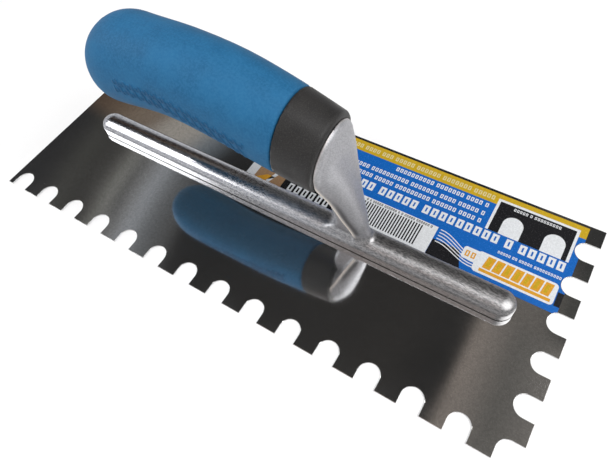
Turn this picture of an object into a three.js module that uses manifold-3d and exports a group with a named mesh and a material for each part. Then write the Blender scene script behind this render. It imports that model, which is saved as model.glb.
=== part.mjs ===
// Notched trowel: stainless blade with U notches, cast aluminium mounting, soft-grip handle.
// Millimetres, +Z up. Origin: centre of the blade's underside.
// +X runs along the blade towards the notched end, +Y towards the plain long edge.

import * as THREE from 'three';
import { mergeVertices } from 'three/addons/utils/BufferGeometryUtils.js';
import Module from 'manifold-3d';

const wasm = await Module();
wasm.setup();

// ---------------------------------------------------------------- driving dimensions

const CLEARANCE = 0.3;                 // gap between pieces that fit into one another

// Blade: 11 in x 4 1/2 in, U notches 3/8 in wide and deep with 3/8 in teeth between them
const BLADE_LENGTH = 279.4;
const BLADE_WIDTH = 114.3;
const BLADE_THICKNESS = 0.7;
const NOTCH = 9.525;                   // width and depth of a notch
const NOTCH_PITCH = 2 * NOTCH;
const EDGE_NOTCHES = 14;               // along the long edge, without the corner notch
const END_NOTCHES = 5;                 // along the short edge, without the corner notch

// Spine: the long foot of the casting
const SPINE_LENGTH = 235.4;
const SPINE_WIDTH = 12.6;
const SPINE_TOP = 9.25;                // height of its crest above the underside of the blade
const SPINE_LAYERS = [                 // height and inset of each step of its rounded section
  { z: BLADE_THICKNESS, inset: 0 },
  { z: 6.6, inset: 0.1 },
  { z: 7.4, inset: 0.35 },
  { z: 8.1, inset: 0.95 },
  { z: 8.6, inset: 1.8 },
  { z: 9.0, inset: 3.2 },
  { z: 9.2, inset: 4.8 },
  { z: SPINE_TOP, inset: 6.1 },
];

// Rivets that hold the blade to the spine
const RIVET_COUNT = 8;
const RIVET_SPAN = 210;                // first to last
const RIVET_RADIUS = 1.7;
const RIVET_HEAD_RADIUS = 2.7;
const RIVET_LENGTH = 5.2;
const RIVET_CHAMFER = 0.4;

// Handle: built along its own axis, x = 0 at the face that meets the casting, butt at -x
const HANDLE_FACE = new THREE.Vector3(33.2, 0, 57.3);
const HANDLE_TILT = THREE.MathUtils.degToRad(6.5);
const HANDLE_LENGTH = 118;
const COLLAR_LENGTH = 17.2;            // bare part of the core in front of the grip
const GRIP_THICKNESS = 2.6;
const BUTT_DOME = 22;                  // length of the rounded butt
const SECTION_POWER = 2.1;             // 2 would be an ellipse
const HANDLE_STATIONS = [              // centre height, half height and half width along x
  { x: -118, centre: -4.9, half: 21.7, side: 20.0 },
  { x: -93.8, centre: -0.4, half: 20.2, side: 18.8 },
  { x: -69.6, centre: 4.5, half: 18.9, side: 17.9 },
  { x: -45.3, centre: 5.15, half: 19.2, side: 17.7 },
  { x: -21.0, centre: 2.4, half: 19.4, side: 17.0 },
  { x: 3.5, centre: -0.7, half: 17.3, side: 16.0 },
];
const COLLAR_EDGE = 1.6;               // radius of the rounded front edge of the collar
const DOME_STEPS = [0.01, 0.04, 0.1, 0.2, 0.33, 0.5, 0.7, 1];
const EDGE_STEPS = [0.4, 0.7, 0.9, 1];
const BODY_STEPS = 11;
const HANDLE_SIDES = 36;
const PAST_BUTT = -150;                // where cutters along the handle start

// Fixing inside the handle: a threaded rod, pulled up by a nut in the butt
const ROD_RADIUS = 4;
const ROD_DEPTH_IN_CASTING = 5.5;
const POCKET_RADIUS = 8;
const POCKET_FLOOR = -98;
const WASHER_THICKNESS = 1.4;
const NUT_THICKNESS = 6.5;
const NUT_ACROSS_CORNERS = 15;
const ROD_END = -109;
const PLUG_INNER_END = -110.5;

// Shank: the neck between spine and handle. Half sections at rising heights, each with the
// sharp side crease, the front of the rounded face and the half width at the crease.
const SHANK_STATIONS = [
  { z: 4.5, crease: 45.6, front: 52.0, half: 4.9 },
  { z: SPINE_TOP, crease: 45.4, front: 52.6, half: 5.0 },
  { z: 10.6, crease: 44.9, front: 51.2, half: 4.5 },
  { z: 13.5, crease: 43.9, front: 50.0, half: 4.5 },
  { z: 25.0, crease: 40.0, front: 48.0, half: 6.7 },
  { z: 38.0, crease: 36.1, front: 45.4, half: 9.1 },
  { z: 51.0, crease: 32.482, front: 42.8, half: 12.8 },
  { z: 57.3, crease: 33.200, front: 41.3, half: 13.8 },
  { z: 64.0, crease: 33.963, front: 39.6, half: 12.4 },
  { z: 68.4, crease: 34.465, front: 37.3, half: 9.0 },
  { z: 70.8, crease: 34.738, front: 35.9, half: 5.2 },
  { z: 71.8, crease: 34.852, front: 34.9, half: 1.6 },
];
const PAD_HALF_HEIGHT = 14.5;          // elliptical pad that carries the collar
const PAD_HALF_WIDTH = 13.8;
const PAD_DEPTH = 5;
const PAD_RINGS = [
  { x: 0, scale: 1 },
  { x: PAD_DEPTH / 2, scale: 0.9 },
  { x: PAD_DEPTH, scale: 0.5 },
];
const WEB_HALF_WIDTH = 3;              // rib behind the shank
const WEB_REAR = [                     // its rear edge from the spine up, as x and z
  [29.3, 8.0], [32.2, 10.2], [33.6, 14.2], [33.1, 18.5], [32.0, 22.7], [31.3, 27.5],
  [31.3, 33], [32.0, 39], [32.8, 45.5],
];
const WEB_FOOT = 5;                    // inside the spine
const WEB_INSIDE = [[38, 47], [47, 20], [47, WEB_FOOT]];   // outline hidden in the face

// Label on the blade, between the spine and the plain edge, cut out round the notches it meets
const LABEL = { x0: -26.7, x1: 132.9, y0: 8.0, y1: 55.6, thickness: 0.12, gap: 0.25 };

// ---------------------------------------------------------------- helpers

function toManifold(geometry) {
  const bare = geometry.clone();
  bare.deleteAttribute('normal');
  bare.deleteAttribute('uv');
  const merged = mergeVertices(bare, 1e-4);
  return new wasm.Manifold(new wasm.Mesh({
    numProp: 3,
    vertProperties: new Float32Array(merged.attributes.position.array),
    triVerts: new Uint32Array(merged.index.array),
  }));
}

function toGeometry(solid) {
  const mesh = solid.getMesh();
  const geometry = new THREE.BufferGeometry();
  geometry.setAttribute('position', new THREE.BufferAttribute(mesh.vertProperties, 3));
  geometry.setIndex(new THREE.BufferAttribute(mesh.triVerts, 1));
  geometry.computeVertexNormals();
  return geometry;
}

// Closed skin over rings of equal length; both ends are closed by fans.
function loft(rings) {
  const count = rings[0].length;
  const points = rings.flat();
  const faces = [];
  for (let i = 0; i + 1 < rings.length; i += 1) {
    for (let j = 0; j < count; j += 1) {
      const a = i * count + j;
      const b = i * count + (j + 1) % count;
      faces.push(a, b, b + count);
      faces.push(a, b + count, a + count);
    }
  }
  const last = (rings.length - 1) * count;
  const first = points.push(centroid(rings[0])) - 1;
  const end = points.push(centroid(rings[rings.length - 1])) - 1;
  for (let j = 0; j < count; j += 1) {
    const k = (j + 1) % count;
    faces.push(first, k, j);
    faces.push(end, last + j, last + k);
  }
  const geometry = new THREE.BufferGeometry().setFromPoints(points);
  geometry.setIndex(faces);
  geometry.computeVertexNormals();
  return geometry;
}

function centroid(ring) {
  const sum = new THREE.Vector3();
  ring.forEach((point) => sum.add(point));
  return sum.divideScalar(ring.length);
}

// Cylinder or cone frustum along X from x0 to x1
function roundAlongX(x0, x1, radius0, radius1 = radius0, segments = 32) {
  const geometry = new THREE.CylinderGeometry(radius1, radius0, x1 - x0, segments);
  geometry.rotateZ(-Math.PI / 2);
  geometry.translate((x0 + x1) / 2, 0, 0);
  return geometry;
}

// Cylinder or cone frustum along Z from z0 to z1 at (x, y)
function roundAlongZ(x, y, z0, z1, radius0, radius1 = radius0, segments = 24) {
  const geometry = new THREE.CylinderGeometry(radius1, radius0, z1 - z0, segments);
  geometry.rotateX(Math.PI / 2);
  geometry.translate(x, y, (z0 + z1) / 2);
  return geometry;
}

// Function through the named value of a list of stations: smooth, or straight from one to the next
function through(stations, key, name, Interpolant = THREE.CubicInterpolant) {
  const places = new Float32Array(stations.map((station) => station[key]));
  const values = new Float32Array(stations.map((station) => station[name]));
  const interpolant = new Interpolant(places, values, 1);
  return (place) => interpolant.evaluate(place)[0];
}

function plainMesh(name, geometry, color, roughness, metalness) {
  const material = new THREE.MeshStandardMaterial({ color, roughness, metalness });
  const mesh = new THREE.Mesh(geometry, material);
  mesh.name = name;
  return mesh;
}

const steel = (name, geometry) => plainMesh(name, geometry, 0xb9bcbe, 0.3, 1);

// ---------------------------------------------------------------- blade

// Outline of the blade, counter-clockwise, with the U notches on the near edge and right end
function bladeShape() {
  const right = BLADE_LENGTH / 2;
  const near = -BLADE_WIDTH / 2;
  const radius = NOTCH / 2;
  const shape = new THREE.Shape();
  shape.moveTo(-right, near);
  for (let k = EDGE_NOTCHES; k >= 1; k -= 1) {
    const x = right - radius - k * NOTCH_PITCH;
    shape.lineTo(x - radius, near);
    shape.lineTo(x - radius, near + radius);
    shape.absarc(x, near + radius, radius, Math.PI, 0, true);
    shape.lineTo(x + radius, near);
  }
  // Corner notch: the corner square with one rounded inner corner
  shape.lineTo(right - NOTCH, near);
  shape.lineTo(right - NOTCH, near + radius);
  shape.absarc(right - radius, near + radius, radius, Math.PI, Math.PI / 2, true);
  shape.lineTo(right, near + NOTCH);
  for (let k = 1; k <= END_NOTCHES; k += 1) {
    const y = near + radius + k * NOTCH_PITCH;
    shape.lineTo(right, y - radius);
    shape.lineTo(right - radius, y - radius);
    shape.absarc(right - radius, y, radius, -Math.PI / 2, -1.5 * Math.PI, true);
    shape.lineTo(right, y + radius);
  }
  shape.lineTo(right, -near);
  shape.lineTo(-right, -near);
  return shape;
}

function rivetPlaces() {
  const step = RIVET_SPAN / (RIVET_COUNT - 1);
  return Array.from({ length: RIVET_COUNT }, (_, i) => -RIVET_SPAN / 2 + i * step);
}

function blade() {
  const plate = new THREE.ExtrudeGeometry(bladeShape(), {
    depth: BLADE_THICKNESS,
    bevelEnabled: false,
    curveSegments: 7,
  });
  let solid = toManifold(plate);
  // Each countersink is one cone that runs on past both faces of the plate
  const middle = (RIVET_HEAD_RADIUS + RIVET_RADIUS) / 2 + CLEARANCE;
  const taper = RIVET_HEAD_RADIUS - RIVET_RADIUS;
  for (const x of rivetPlaces()) {
    const low = -BLADE_THICKNESS / 2;
    const high = 1.5 * BLADE_THICKNESS;
    solid = solid.subtract(toManifold(roundAlongZ(x, 0, low, high, middle + taper, middle - taper)));
  }
  return steel('blade', toGeometry(solid));
}

// Flush rivet: cone head in the blade, plain stud in the spine
function rivet(index, x) {
  const profile = [
    new THREE.Vector2(0, 0),
    new THREE.Vector2(RIVET_HEAD_RADIUS, 0),
    new THREE.Vector2(RIVET_RADIUS, BLADE_THICKNESS),
    new THREE.Vector2(RIVET_RADIUS, RIVET_LENGTH - RIVET_CHAMFER),
    new THREE.Vector2(RIVET_RADIUS - RIVET_CHAMFER, RIVET_LENGTH),
    new THREE.Vector2(0, RIVET_LENGTH),
  ];
  const geometry = new THREE.LatheGeometry(profile, 24);
  geometry.rotateX(Math.PI / 2);
  const mesh = steel(`rivet_${index + 1}`, geometry);
  mesh.position.x = x;
  return mesh;
}

// ---------------------------------------------------------------- mounting casting

// Long rounded bar: the same round-ended outline, drawn in a little at each step
function spine() {
  const radius = SPINE_WIDTH / 2;
  const straight = SPINE_LENGTH / 2 - radius;
  const rings = SPINE_LAYERS.map(({ z, inset }) => {
    const outline = new THREE.Shape();
    outline.absarc(straight, 0, radius - inset, -Math.PI / 2, Math.PI / 2, false);
    outline.absarc(-straight, 0, radius - inset, Math.PI / 2, 1.5 * Math.PI, false);
    return outline.getPoints(12).map((p) => new THREE.Vector3(p.x, p.y, z));
  });
  return loft(rings);
}

// Rounded front face with a flat back that ends in a sharp crease on each side
function shankFace() {
  const crease = through(SHANK_STATIONS, 'z', 'crease', THREE.LinearInterpolant);
  const front = through(SHANK_STATIONS, 'z', 'front');
  const half = through(SHANK_STATIONS, 'z', 'half');
  const heights = SHANK_STATIONS.flatMap(({ z }, i) => {
    const next = SHANK_STATIONS[i + 1];
    return next && next.z - z > 6 ? [z, (z + next.z) / 2] : [z];
  });
  const steps = 16;
  return loft(heights.map((z) => Array.from({ length: steps + 1 }, (_, i) => {
    const turn = -Math.PI / 2 + (Math.PI * i) / steps;
    const depth = front(z) - crease(z);
    return new THREE.Vector3(crease(z) + depth * Math.cos(turn), half(z) * Math.sin(turn), z);
  })));
}

// Rib behind the face, standing on the spine
function shankWeb() {
  const shape = new THREE.Shape();
  const rear = WEB_REAR.map(([x, z]) => new THREE.Vector2(x, z));
  shape.moveTo(rear[0].x, WEB_FOOT);
  shape.lineTo(rear[0].x, rear[0].y);
  shape.splineThru(rear.slice(1));
  for (const [x, z] of WEB_INSIDE) {
    shape.lineTo(x, z);
  }
  const rounding = 1;
  const geometry = new THREE.ExtrudeGeometry(shape, {
    depth: 2 * (WEB_HALF_WIDTH - rounding),
    bevelThickness: rounding,
    bevelSize: rounding,
    bevelOffset: -rounding,
    bevelSegments: 2,
    curveSegments: 2,
  });
  geometry.rotateX(Math.PI / 2);
  geometry.translate(0, WEB_HALF_WIDTH - rounding, 0);
  return geometry;
}

// Elliptical pad in front of the collar, in handle coordinates
function handlePad() {
  const steps = 32;
  const rings = PAD_RINGS.map(({ x, scale }) => {
    return Array.from({ length: steps }, (_, i) => {
      const turn = (2 * Math.PI * i) / steps;
      const y = scale * PAD_HALF_WIDTH * Math.cos(turn);
      return new THREE.Vector3(x, y, scale * PAD_HALF_HEIGHT * Math.sin(turn));
    });
  });
  return loft(rings);
}

function placeWithHandle(geometry) {
  geometry.rotateY(HANDLE_TILT);
  geometry.translate(HANDLE_FACE.x, HANDLE_FACE.y, HANDLE_FACE.z);
  return geometry;
}

function mountingCasting() {
  let solid = toManifold(spine());
  solid = solid.add(toManifold(shankWeb()));
  solid = solid.add(toManifold(shankFace()));
  solid = solid.add(toManifold(placeWithHandle(handlePad())));
  const rodHole = roundAlongX(-4, ROD_DEPTH_IN_CASTING + CLEARANCE, ROD_RADIUS + CLEARANCE);
  solid = solid.subtract(toManifold(placeWithHandle(rodHole)));
  for (const x of rivetPlaces()) {
    const radius = RIVET_RADIUS + CLEARANCE;
    const hole = roundAlongZ(x, 0, 0, RIVET_LENGTH + CLEARANCE, radius);
    solid = solid.subtract(toManifold(hole));
  }
  return plainMesh('mounting_casting', toGeometry(solid), 0xa9adb0, 0.45, 1);
}

// ---------------------------------------------------------------- handle

const centreAt = through(HANDLE_STATIONS, 'x', 'centre');
const halfAt = through(HANDLE_STATIONS, 'x', 'half');
const sideAt = through(HANDLE_STATIONS, 'x', 'side');

// How far the section has grown at distance d from the tip of a rounded end
function endGrowth(d, length) {
  const inside = THREE.MathUtils.clamp(d / length, 0, 1);
  return Math.pow(1 - Math.pow(1 - inside, 2.2), 1 / 2.2);
}

// One ring of the handle's outside at x, drawn in by inset
function handleRing(x, inset, steps) {
  const growth = endGrowth(x + HANDLE_LENGTH - inset, BUTT_DOME);
  const collar = COLLAR_EDGE * (1 - endGrowth(-x - CLEARANCE, COLLAR_EDGE));
  const half = growth * (halfAt(x) - inset) - collar;
  const side = growth * (sideAt(x) - inset) - collar;
  return Array.from({ length: steps }, (_, i) => {
    const turn = (2 * Math.PI * i) / steps;
    const c = Math.cos(turn);
    const s = Math.sin(turn);
    const y = side * Math.sign(c) * Math.pow(Math.abs(c), 2 / SECTION_POWER);
    const z = half * Math.sign(s) * Math.pow(Math.abs(s), 2 / SECTION_POWER);
    return new THREE.Vector3(x, y, z + centreAt(x));
  });
}

// Places along x from the butt to end, close together where the butt is round
function handlePlaces(inset, end) {
  const tip = -HANDLE_LENGTH + inset;
  const dome = DOME_STEPS.map((t) => tip + t * BUTT_DOME);
  const body = [];
  const start = tip + BUTT_DOME;
  for (let i = 1; i <= BODY_STEPS; i += 1) {
    body.push(start + ((end - start) * i) / BODY_STEPS);
  }
  return [...dome, ...body];
}

function handleBody(inset, end) {
  return loft(handlePlaces(inset, end).map((x) => handleRing(x, inset, HANDLE_SIDES)));
}

// Collar with a rounded front edge, and the hidden core that carries the grip
function handleCore() {
  const edgeStart = -COLLAR_EDGE - CLEARANCE;
  const edge = EDGE_STEPS.map((t) => edgeStart + t * COLLAR_EDGE);
  const places = [-COLLAR_LENGTH, (edgeStart - COLLAR_LENGTH) / 2, edgeStart, ...edge];
  const collar = loft(places.map((x) => handleRing(x, 0, HANDLE_SIDES)));
  const inner = handleBody(GRIP_THICKNESS + CLEARANCE, -COLLAR_LENGTH + 1);
  const bore = roundAlongX(PAST_BUTT, 5, ROD_RADIUS + CLEARANCE);
  const pocket = roundAlongX(PAST_BUTT, POCKET_FLOOR, POCKET_RADIUS);
  const solid = toManifold(collar).add(toManifold(inner))
    .subtract(toManifold(bore)).subtract(toManifold(pocket));
  return plainMesh('handle_core', toGeometry(solid), 0x1d1d1f, 0.7, 0);
}

function softGrip() {
  const outside = handleBody(0, -COLLAR_LENGTH - CLEARANCE);
  const inside = handleBody(GRIP_THICKNESS, -COLLAR_LENGTH + 5);
  const plugHole = roundAlongX(PAST_BUTT, POCKET_FLOOR, POCKET_RADIUS);
  const solid = toManifold(outside).subtract(toManifold(inside))
    .subtract(toManifold(plugHole));
  return plainMesh('soft_grip', toGeometry(solid), 0x2f6ea8, 0.8, 0);
}

function tieRod() {
  return steel('tie_rod', roundAlongX(ROD_END, ROD_DEPTH_IN_CASTING, ROD_RADIUS, ROD_RADIUS, 24));
}

// Flat ring or hexagon with a round hole for the rod, between x0 and x1
function ringOnRod(x0, x1, radius, segments) {
  const body = toManifold(roundAlongX(x0, x1, radius, radius, segments));
  const hole = roundAlongX(x0 - 1, x1 + 1, ROD_RADIUS + CLEARANCE, ROD_RADIUS + CLEARANCE, 24);
  return toGeometry(body.subtract(toManifold(hole)));
}

function buttWasher() {
  const x1 = POCKET_FLOOR - CLEARANCE;
  return steel('butt_washer', ringOnRod(x1 - WASHER_THICKNESS, x1, POCKET_RADIUS - 2 * CLEARANCE, 32));
}

function buttNut() {
  const x1 = POCKET_FLOOR - 2 * CLEARANCE - WASHER_THICKNESS;
  return steel('butt_nut', ringOnRod(x1 - NUT_THICKNESS, x1, NUT_ACROSS_CORNERS / 2, 6));
}

// Plug that closes the pocket, flush with the rounded butt
function buttPlug() {
  const stem = roundAlongX(PAST_BUTT, PLUG_INNER_END, POCKET_RADIUS - CLEARANCE);
  const solid = toManifold(stem).intersect(toManifold(handleBody(0, -COLLAR_LENGTH)));
  return plainMesh('butt_plug', toGeometry(solid), 0x2a6299, 0.7, 0);
}

// ---------------------------------------------------------------- label

function label() {
  const sheet = new THREE.BoxGeometry(LABEL.x1 - LABEL.x0, LABEL.y1 - LABEL.y0, LABEL.thickness);
  const middle = BLADE_THICKNESS + LABEL.thickness / 2;
  sheet.translate((LABEL.x0 + LABEL.x1) / 2, (LABEL.y0 + LABEL.y1) / 2, middle);
  let solid = toManifold(sheet);
  const x = BLADE_LENGTH / 2 - NOTCH / 2;
  const radius = NOTCH / 2 + LABEL.gap;
  for (let k = 1; k <= END_NOTCHES; k += 1) {
    const y = -BLADE_WIDTH / 2 + NOTCH / 2 + k * NOTCH_PITCH;
    solid = solid.subtract(toManifold(roundAlongZ(x, y, 0, 2, radius, radius, 32)));
  }
  return plainMesh('label', toGeometry(solid), 0x1c62c4, 0.35, 0);
}

// ---------------------------------------------------------------- assembly

const handle = new THREE.Group();
handle.position.copy(HANDLE_FACE);
handle.rotation.y = HANDLE_TILT;
handle.add(handleCore(), softGrip(), tieRod(), buttWasher(), buttNut(), buttPlug());

const trowel = new THREE.Group();
trowel.add(blade(), mountingCasting(), label(), handle);
rivetPlaces().forEach((x, i) => trowel.add(rivet(i, x)));

export default trowel;
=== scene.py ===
"""Notched trowel: polished blade, cast mounting, soft-grip handle and printed label.

Lengths are in millimetres in the part's own frame and turn into metres where a mesh is made.
Smooth pieces are zero surfaces of signed fields (negative inside), meshed on a grid.
"""

import math

import bpy
import numpy as np
from mathutils import Matrix, Vector


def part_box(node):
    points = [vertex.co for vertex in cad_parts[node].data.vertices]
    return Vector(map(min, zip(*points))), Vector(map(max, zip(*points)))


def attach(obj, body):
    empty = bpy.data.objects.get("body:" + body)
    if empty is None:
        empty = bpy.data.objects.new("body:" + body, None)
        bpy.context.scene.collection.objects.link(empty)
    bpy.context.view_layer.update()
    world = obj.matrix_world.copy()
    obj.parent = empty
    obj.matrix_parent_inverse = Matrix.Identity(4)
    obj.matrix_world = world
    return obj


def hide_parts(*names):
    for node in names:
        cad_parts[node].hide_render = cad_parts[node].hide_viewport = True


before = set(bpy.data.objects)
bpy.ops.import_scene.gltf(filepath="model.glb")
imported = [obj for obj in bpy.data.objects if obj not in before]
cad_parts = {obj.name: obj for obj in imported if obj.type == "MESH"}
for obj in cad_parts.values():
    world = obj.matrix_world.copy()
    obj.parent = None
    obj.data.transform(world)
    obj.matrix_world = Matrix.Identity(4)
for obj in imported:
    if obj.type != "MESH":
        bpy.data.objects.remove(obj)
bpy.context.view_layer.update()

MM = 0.001
UP = Vector((0, 0, 1))


def box_mm(node):
    low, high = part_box(node)
    return np.array(low) / MM, np.array(high) / MM


# ---------------------------------------------------------------- driving dimensions

BLADE_LOW, BLADE_HIGH = box_mm("blade")
BLADE_TOP = BLADE_HIGH[2]
BLADE_EDGE_ROUND = 0.09
BOW_CENTRE = 60                    # x where the very slight bow of the sheet is level
BOW_ALONG = 0.2                    # rise of the bow in metres, per square metre along x
BOW_ACROSS = 0.5                   # and its fall across
NOTCH = 9.525                      # width and depth of a notch
NOTCH_PITCH = 2 * NOTCH
EDGE_NOTCHES = 14                  # along the long edge, without the corner notch
END_NOTCHES = 5                    # along the short edge, without the corner notch

RIVETS = [box_mm(f"rivet_{i}") for i in range(1, 9)]
RIVET_X = [(low[0] + high[0]) / 2 for low, high in RIVETS]
RIVET_HEAD_RADIUS = (RIVETS[0][1][0] - RIVETS[0][0][0]) / 2
RIVET_TOP = RIVETS[0][1][2]
FIT_GAP = 0.3                      # between pieces that fit into one another
RIVET_HOLE_RADIUS = 2.0

CASTING_HIGH = box_mm("mounting_casting")[1]
SPINE_HALF_WIDTH = 6.3
SPINE_STRAIGHT = CASTING_HIGH[0] - SPINE_HALF_WIDTH
SPINE_TOP = 9.25
SPINE_CROWN = 2.2                  # drop of the crowned top from the middle to the side
SPINE_SHOULDER = 2.2
SPINE_FOOT = 0.6                   # rounding where the spine meets the blade
SPINE_FILLET = 2.6                 # between the spine and what rises from it

# Shank, at heights SHANK_Z: x of the sharp creases, x of the rounded front, half width
SHANK_Z = [4.5, 9.25, 10.6, 13.5, 25.0, 38.0, 51.0, 57.3, 64.0, 68.4, 70.8, 71.8]
SHANK_CREASE = [45.6, 45.4, 44.9, 43.9, 40.0, 36.1, 32.48, 33.2, 33.96, 34.47, 34.74, 34.85]
SHANK_FRONT = [51.2, 51.0, 50.8, 50.0, 48.0, 45.4, 42.8, 41.3, 39.6, 37.3, 35.9, 34.9]
SHANK_HALF = [4.6, 4.5, 4.5, 4.6, 6.7, 9.1, 12.8, 13.8, 12.4, 9.0, 5.2, 1.6]
SHANK_TOP = SHANK_Z[-1]
SHANK_LEAST = 0.4                  # least depth and half width, at the tip
CREASE_ROUND = 0.3
NECK_FOOT = 4                      # shank and web begin at this height, inside the spine

# Web behind the shank, at heights WEB_Z: x of its rear edge
WEB_HALF_WIDTH = 3.0
WEB_TOP = 50
WEB_OVERLAP = 2                    # it runs this far into the shank
WEB_ROUND = 2.6
WEB_FILLET = 1.8
WEB_Z = [8.0, 10.2, 14.2, 18.5, 22.7, 27.5, 33.0, 39.0, 45.5]
WEB_REAR = [29.3, 32.2, 33.6, 33.1, 32.0, 31.3, 31.3, 32.0, 32.8]
FLASH_HEIGHT = 0.35                # fine line left by the mould along the crease
FLASH_WIDTH = 0.85
SHADE_OFFSET = 2.2                # painted shade in a strip beside that line
SHADE_WIDTH = 1.6
PAD_HALF_HEIGHT = 14.5
PAD_HALF_WIDTH = 13.8
PAD_DEPTH = 3.5
PAD_TAPER = 0.12
PAD_ROUND = 2
PAD_FILLET = 0.8

HANDLE_FACE = (33.2, 0.0, 57.3)    # where the handle's axis meets the casting
HANDLE_TILT = math.radians(6.5)
FACE_FOOT = 30                     # the handle's face cuts the casting above this height only
FACE_ROUND = 0.7
HANDLE_LENGTH = 118.0
COLLAR_LENGTH = 17.2
COLLAR_ROUND = 1.9
COLLAR_BACK_ROUND = 0.5
COLLAR_INSET = 0.2
COLLAR_GAP = 0.05                  # between the collar and the casting
CORE_OVERLAP = 1                   # the thinner part of the core runs this far into the collar
GRIP_THICKNESS = 2.6
GRIP_INSET = 0.15                  # keeps the raised parting line inside the CAD box
GRIP_LIP_ROUND = 1.4               # edge of the grip beside the collar
GRIP_OPENING = 5                   # the hollow runs this far past the grip, so it ends open
PARTING_HEIGHT = 0.1               # line left by the two halves of the grip's mould
PARTING_WIDTH = 0.45
PARTING_FADE = (-24, -19)          # it fades out towards the collar
BUTT_DOME = 22.0                   # depth of the round end
BUTT_POWER = 2.2                   # both powers: 2 is round, more is squarer
SECTION_POWER = 2.1

# Handle, at places HANDLE_X along its own axis: centre line, half height, half width
HANDLE_X = [-118.0, -93.8, -69.6, -45.3, -21.0, 3.5]
HANDLE_CENTRE = [-4.9, -0.4, 4.5, 5.15, 2.4, -0.7]
HANDLE_HALF = [21.7, 20.2, 18.9, 19.2, 19.4, 17.3]
HANDLE_SIDE = [20.0, 18.8, 17.9, 17.7, 17.0, 16.0]

# Moulded band low on each flank of the grip, at places BAND_X along the axis
BAND_HEIGHT = 0.45
BAND_X = [-90, -60, -31]
BAND_HALF = [3.6, 4.6, 5.0]        # half width
BAND_START, BAND_END = 2.2, -3.6   # its middle over the centre line, at the first and last place
BAND_PITCH = 4.1                   # from rib to rib
BAND_SLANT = 0.45
BAND_BUTT_FADE = (-92, -91)        # it fades in and out along the axis, and below these widths
BAND_COLLAR_FADE = (-29, -28)
BAND_SIDE_FADE = (9, 11)

ROD_HOLE_RADIUS = 4.3
ROD_HOLE_DEPTH = 5.8
PLUG_HOLE_RADIUS = 8.0
PLUG_HOLE_ROUND = 0.7
PLUG_FLOOR = -98.0
PLUG_INNER_END = -110.5
PLUG_INSET = 0.15
PLUG_ROUND = 0.9
RING_RADIUS, RING_WIDTH, RING_DEPTH = 5.2, 0.5, 0.35     # pressed into the plug

LABEL_LOW, LABEL_HIGH = box_mm("label")
LABEL_GAP = 0.25                   # round a notch that reaches the label
LABEL_EDGE_ROUND = 0.03


# ---------------------------------------------------------------- fields

def smooth_max(a, b, size):
    overlap = np.maximum(size - np.abs(a - b), 0) / size
    return np.maximum(a, b) + overlap * overlap * size / 4


def smooth_min(a, b, size):
    return -smooth_max(-a, -b, size)


def smooth_step(low, high, value):
    t = np.clip((value - low) / (high - low), 0, 1)
    return t * t * (3 - 2 * t)


def through(places, values):
    """Smooth function through the values at the places, straight beyond both ends."""
    p, v = np.array(places, float), np.array(values, float)
    slopes = np.gradient(v, p)

    def value_at(x):
        i = np.clip(np.searchsorted(p, x) - 1, 0, len(p) - 2)
        width = p[i + 1] - p[i]
        t = np.clip((x - p[i]) / width, 0, 1)
        rise = v[i + 1] - v[i]
        start, end = slopes[i] * width, slopes[i + 1] * width
        curve = v[i] + t * start + t * t * (3 * rise - 2 * start - end)
        curve = curve + t * t * t * (start + end - 2 * rise)
        before = np.minimum(x - p[0], 0) * slopes[0]
        after = np.maximum(x - p[-1], 0) * slopes[-1]
        return curve + before + after
    return value_at


def lens(u, v, a, b):
    """Close to the distance from a rounded face with sharp sides, 2 b wide and a high."""
    power_u, power_v = 1.3, 2.3
    u, v = np.abs(u) / a, np.abs(v) / b
    level = u ** power_u + v ** power_v
    slope = np.hypot(power_u * u ** (power_u - 1) / a, power_v * v ** (power_v - 1) / b)
    return np.clip((level - 1) / (slope + 0.02), -6, 60)


def ellipse(u, v, a, b):
    """Close to the distance from the ellipse with half axes a and b."""
    k1 = np.sqrt((u / a) ** 2 + (v / b) ** 2) + 1e-6
    k2 = np.sqrt((u / a ** 2) ** 2 + (v / b ** 2) ** 2) + 1e-6
    return k1 * (k1 - 1) / k2


def to_handle(x, z):
    """Part frame to the handle's own x and z."""
    dx, dz = x - HANDLE_FACE[0], z - HANDLE_FACE[2]
    c, s = math.cos(HANDLE_TILT), math.sin(HANDLE_TILT)
    return dx * c - dz * s, dx * s + dz * c


def turned_from_handle(vectors):
    """Directions in the handle's frame to the part frame."""
    c, s = math.cos(HANDLE_TILT), math.sin(HANDLE_TILT)
    x = vectors[:, 0] * c + vectors[:, 2] * s
    z = vectors[:, 2] * c - vectors[:, 0] * s
    return np.stack([x, vectors[:, 1], z], axis=1)


def even_axes(low, high, step):
    """Grid lines from low to high, with room for two more at each end."""
    return [np.arange(a - 2 * step, b + 3 * step, step) for a, b in zip(low, high)]


SURFACE_ROUNDS = 4                 # times each point is drawn on to the surface
GRADIENT_REACH = 0.06
FLATTEST = 0.05                    # least squared slope used in a move


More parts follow.
